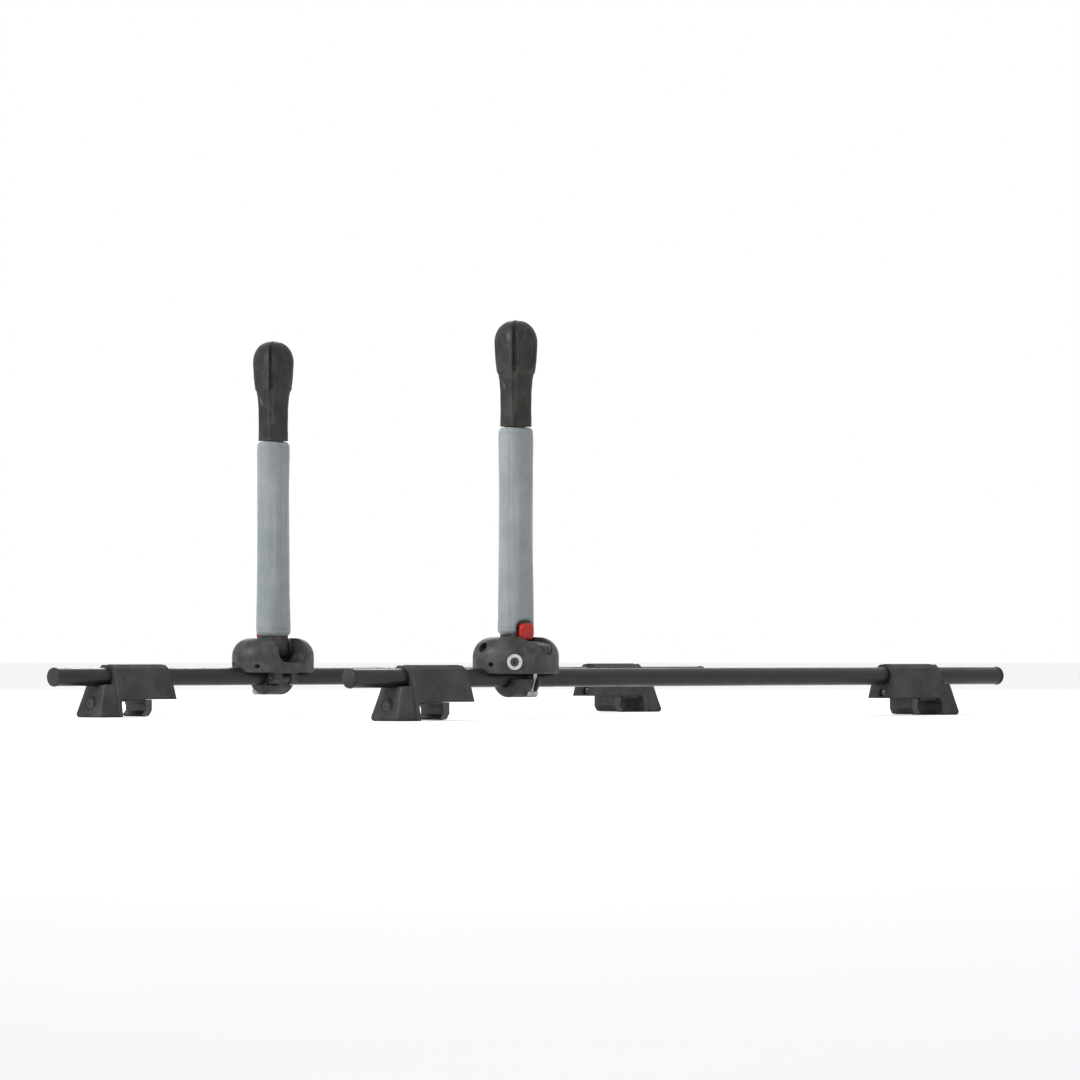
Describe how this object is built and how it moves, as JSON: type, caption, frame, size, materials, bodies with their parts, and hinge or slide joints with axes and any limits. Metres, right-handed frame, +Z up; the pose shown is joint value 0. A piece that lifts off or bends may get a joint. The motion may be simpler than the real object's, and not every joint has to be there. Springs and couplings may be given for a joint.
{
  "type": "roof rack with fold-down stacker posts",
  "caption": "Vehicle roof rack: round crossbars on rail-clamp towers, each bar with a fold-down foam-padded upright post clamped to it.",
  "frame": {"origin": "centre of the footprint at the towers' lowest faces", "axes": "+X along the bars towards the vehicle's left, -Y towards the vehicle's front, +Z up"},
  "size_m": [1.485, 0.79, 0.61],
  "materials": {
    "bar_coat": "satin",
    "cap_plastic": "matte",
    "tower_plastic": "fine texture",
    "strip_plastic": "satin",
    "rubber": "matte",
    "jaw_metal": "satin",
    "steel": "satin",
    "bright_ring": "satin",
    "lock_metal": "satin",
    "base_plastic": "fine texture",
    "tube_metal": "satin",
    "pad_cover": "matte",
    "head_plastic": "fine texture",
    "button_red": "semi-gloss"
  },
  "bodies": {
    "rack": {"crossbar_front": "bar_coat", "end_caps_front": "cap_plastic", "rail_pads_front": "rubber", "tower_body_front_near": "tower_plastic", "tower_cover_front_near": "strip_plastic", "tower_body_front_far": "tower_plastic", "tower_cover_front_far": "strip_plastic", "saddle_body_front": "base_plastic", "side_covers_front": "base_plastic", "saddle_liner_front": "rubber", "base_screws_front": "steel", "claw_pin_front": "steel", "lock_bezel_front": "bright_ring", "pivot_pin_front": "steel", "crossbar_rear": "bar_coat", "end_caps_rear": "cap_plastic", "rail_pads_rear": "rubber", "tower_body_rear_near": "tower_plastic", "tower_cover_rear_near": "strip_plastic", "tower_body_rear_far": "tower_plastic", "tower_cover_rear_far": "strip_plastic", "saddle_body_rear": "base_plastic", "side_covers_rear": "base_plastic", "saddle_liner_rear": "rubber", "base_screws_rear": "steel", "claw_pin_rear": "steel", "lock_bezel_rear": "bright_ring", "pivot_pin_rear": "steel"},
    "jaw_front_near": {"tower_jaw_front_near": "jaw_metal"},
    "screw_front_near": {"tower_screw_front_near": "steel"},
    "tower_lock_front_near": {"tower_lock_core_front_near": "lock_metal"},
    "jaw_front_far": {"tower_jaw_front_far": "jaw_metal"},
    "screw_front_far": {"tower_screw_front_far": "steel"},
    "tower_lock_front_far": {"tower_lock_core_front_far": "lock_metal"},
    "mast_front": {"mast_foot_front": "base_plastic", "mast_tube_front": "tube_metal", "foam_pad_front": "pad_cover", "mast_head_front": "head_plastic", "button_spring_front": "steel"},
    "button_front": {"release_button_front": "button_red"},
    "claw_front": {"claw_front": "base_plastic"},
    "bolt_front": {"clamp_bolt_front": "steel"},
    "knob_front": {"clamp_knob_front": "base_plastic"},
    "base_lock_front": {"lock_core_front": "lock_metal"},
    "jaw_rear_near": {"tower_jaw_rear_near": "jaw_metal"},
    "screw_rear_near": {"tower_screw_rear_near": "steel"},
    "tower_lock_rear_near": {"tower_lock_core_rear_near": "lock_metal"},
    "jaw_rear_far": {"tower_jaw_rear_far": "jaw_metal"},
    "screw_rear_far": {"tower_screw_rear_far": "steel"},
    "tower_lock_rear_far": {"tower_lock_core_rear_far": "lock_metal"},
    "mast_rear": {"mast_foot_rear": "base_plastic", "mast_tube_rear": "tube_metal", "foam_pad_rear": "pad_cover", "mast_head_rear": "head_plastic", "button_spring_rear": "steel"},
    "button_rear": {"release_button_rear": "button_red"},
    "claw_rear": {"claw_rear": "base_plastic"},
    "bolt_rear": {"clamp_bolt_rear": "steel"},
    "knob_rear": {"clamp_knob_rear": "base_plastic"},
    "base_lock_rear": {"lock_core_rear": "lock_metal"}
  },
  "joints": [
    {"name": "screw_turn_front_near", "type": "hinge", "parent": "rack", "child": "screw_front_near", "pos_m": [-0.574, -0.34, 0.037], "axis": [1, 0, 0], "range_deg": [0, 3457]},
    {"name": "jaw_slide_front_near", "type": "slide", "parent": "rack", "child": "jaw_front_near", "axis": [1, 0, 0], "range_m": [0, 0.012]},
    {"name": "tower_lock_turn_front_near", "type": "hinge", "parent": "rack", "child": "tower_lock_front_near", "pos_m": [-0.659, -0.34, 0.022], "axis": [-1, 0, 0], "range_deg": [0, 90]},
    {"name": "screw_turn_front_far", "type": "hinge", "parent": "rack", "child": "screw_front_far", "pos_m": [0.515, -0.34, 0.037], "axis": [-1, 0, 0], "range_deg": [0, 3457]},
    {"name": "jaw_slide_front_far", "type": "slide", "parent": "rack", "child": "jaw_front_far", "axis": [-1, 0, 0], "range_m": [0, 0.012]},
    {"name": "tower_lock_turn_front_far", "type": "hinge", "parent": "rack", "child": "tower_lock_front_far", "pos_m": [0.6, -0.34, 0.022], "axis": [1, 0, 0], "range_deg": [0, 90]},
    {"name": "mast_fold_front", "type": "hinge", "parent": "rack", "child": "mast_front", "pos_m": [-0.392, -0.34, 0.11], "axis": [-1, 0, 0], "range_deg": [0, 90]},
    {"name": "button_press_front", "type": "slide", "parent": "mast_front", "child": "button_front", "axis": [0, 1, 0], "range_m": [0, 0.004], "stiffness_N_per_m": 900, "springref_m": -0.004},
    {"name": "knob_turn_front", "type": "hinge", "parent": "rack", "child": "knob_front", "pos_m": [-0.377, -0.37801, 0.10855], "axis": [0, -0.3057, 0.9521], "range_deg": [0, 2593]},
    {"name": "bolt_slide_front", "type": "slide", "parent": "rack", "child": "bolt_front", "axis": [0, 0.3057, -0.9521], "range_m": [0, 0.009]},
    {"name": "claw_open_front", "type": "hinge", "parent": "rack", "child": "claw_front", "pos_m": [-0.392, -0.316, 0.06], "axis": [1, 0, 0], "range_deg": [0, 10.95]},
    {"name": "base_lock_turn_front", "type": "hinge", "parent": "rack", "child": "base_lock_front", "pos_m": [-0.438, -0.38344, 0.088], "axis": [-0.4949, -0.869, 0], "range_deg": [0, 90]},
    {"name": "screw_turn_rear_near", "type": "hinge", "parent": "rack", "child": "screw_rear_near", "pos_m": [-0.574, 0.34, 0.037], "axis": [1, 0, 0], "range_deg": [0, 3457]},
    {"name": "jaw_slide_rear_near", "type": "slide", "parent": "rack", "child": "jaw_rear_near", "axis": [1, 0, 0], "range_m": [0, 0.012]},
    {"name": "tower_lock_turn_rear_near", "type": "hinge", "parent": "rack", "child": "tower_lock_rear_near", "pos_m": [-0.659, 0.34, 0.022], "axis": [-1, 0, 0], "range_deg": [0, 90]},
    {"name": "screw_turn_rear_far", "type": "hinge", "parent": "rack", "child": "screw_rear_far", "pos_m": [0.515, 0.34, 0.037], "axis": [-1, 0, 0], "range_deg": [0, 3457]},
    {"name": "jaw_slide_rear_far", "type": "slide", "parent": "rack", "child": "jaw_rear_far", "axis": [-1, 0, 0], "range_m": [0, 0.012]},
    {"name": "tower_lock_turn_rear_far", "type": "hinge", "parent": "rack", "child": "tower_lock_rear_far", "pos_m": [0.6, 0.34, 0.022], "axis": [1, 0, 0], "range_deg": [0, 90]},
    {"name": "mast_fold_rear", "type": "hinge", "parent": "rack", "child": "mast_rear", "pos_m": [-0.275, 0.34, 0.11], "axis": [1, 0, 0], "range_deg": [0, 90]},
    {"name": "button_press_rear", "type": "slide", "parent": "mast_rear", "child": "button_rear", "axis": [0, -1, 0], "range_m": [0, 0.004], "stiffness_N_per_m": 900, "springref_m": -0.004},
    {"name": "knob_turn_rear", "type": "hinge", "parent": "rack", "child": "knob_rear", "pos_m": [-0.29, 0.37801, 0.10855], "axis": [0, 0.3057, 0.9521], "range_deg": [0, 2593]},
    {"name": "bolt_slide_rear", "type": "slide", "parent": "rack", "child": "bolt_rear", "axis": [0, -0.3057, -0.9521], "range_m": [0, 0.009]},
    {"name": "claw_open_rear", "type": "hinge", "parent": "rack", "child": "claw_rear", "pos_m": [-0.275, 0.316, 0.06], "axis": [-1, 0, 0], "range_deg": [0, 10.95]},
    {"name": "base_lock_turn_rear", "type": "hinge", "parent": "rack", "child": "base_lock_rear", "pos_m": [-0.229, 0.38344, 0.088], "axis": [0.4949, 0.869, 0], "range_deg": [0, 90]}
  ],
  "couplings": [
    {"joint": "screw_turn_front_near", "follows": "jaw_slide_front_near", "rad_per_m": 5026.5},
    {"joint": "screw_turn_front_far", "follows": "jaw_slide_front_far", "rad_per_m": 5026.5},
    {"joint": "knob_turn_front", "follows": "bolt_slide_front", "rad_per_m": 5026.5},
    {"joint": "claw_open_front", "follows": "bolt_slide_front", "rad_per_m": 21.177},
    {"joint": "screw_turn_rear_near", "follows": "jaw_slide_rear_near", "rad_per_m": 5026.5},
    {"joint": "screw_turn_rear_far", "follows": "jaw_slide_rear_far", "rad_per_m": 5026.5},
    {"joint": "knob_turn_rear", "follows": "bolt_slide_rear", "rad_per_m": 5026.5},
    {"joint": "claw_open_rear", "follows": "bolt_slide_rear", "rad_per_m": 21.177}
  ]
}
